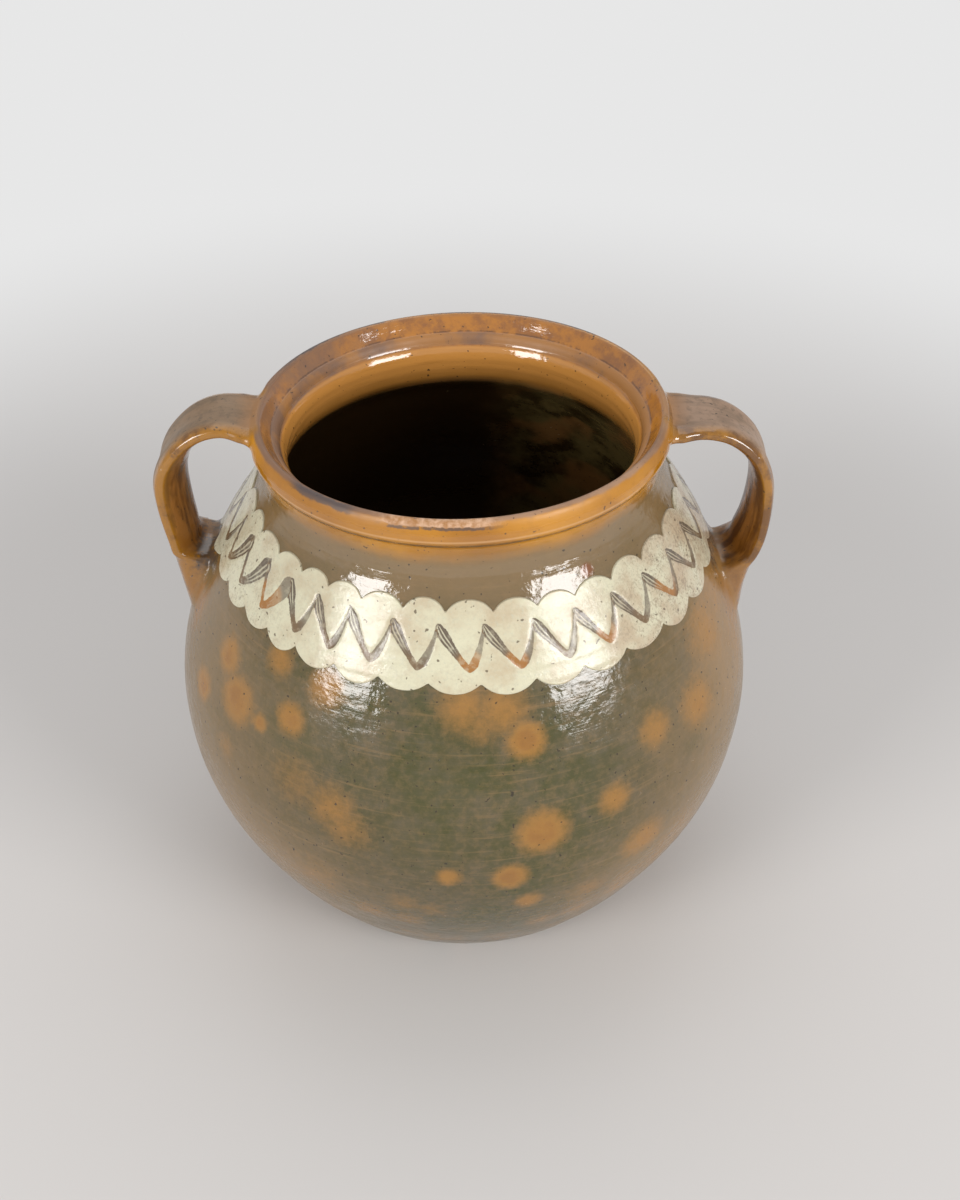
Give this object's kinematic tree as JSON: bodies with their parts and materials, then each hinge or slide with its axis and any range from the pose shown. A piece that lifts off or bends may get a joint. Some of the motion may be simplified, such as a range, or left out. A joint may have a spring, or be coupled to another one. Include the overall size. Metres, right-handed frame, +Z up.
{
  "type": "glazed pot",
  "caption": "Round-bellied glazed storage pot with a wide mouth, a lid seat inside the rim, strap handles and a scalloped slip band.",
  "frame": {"origin": "middle of the flat base, on the surface that the pot stands on", "axes": "+X through the handle on the right of the picture, -Y towards the camera, +Z up through the mouth"},
  "size_m": [0.351, 0.345, 0.328],
  "materials": {
    "glaze": "satin olive-brown lead glaze over ochre clay, mottled with ochre spots",
    "slip": "glossy clear glaze over cream slip"
  },
  "bodies": {
    "root": {"pot": "glaze"}
  },
  "joints": []
}
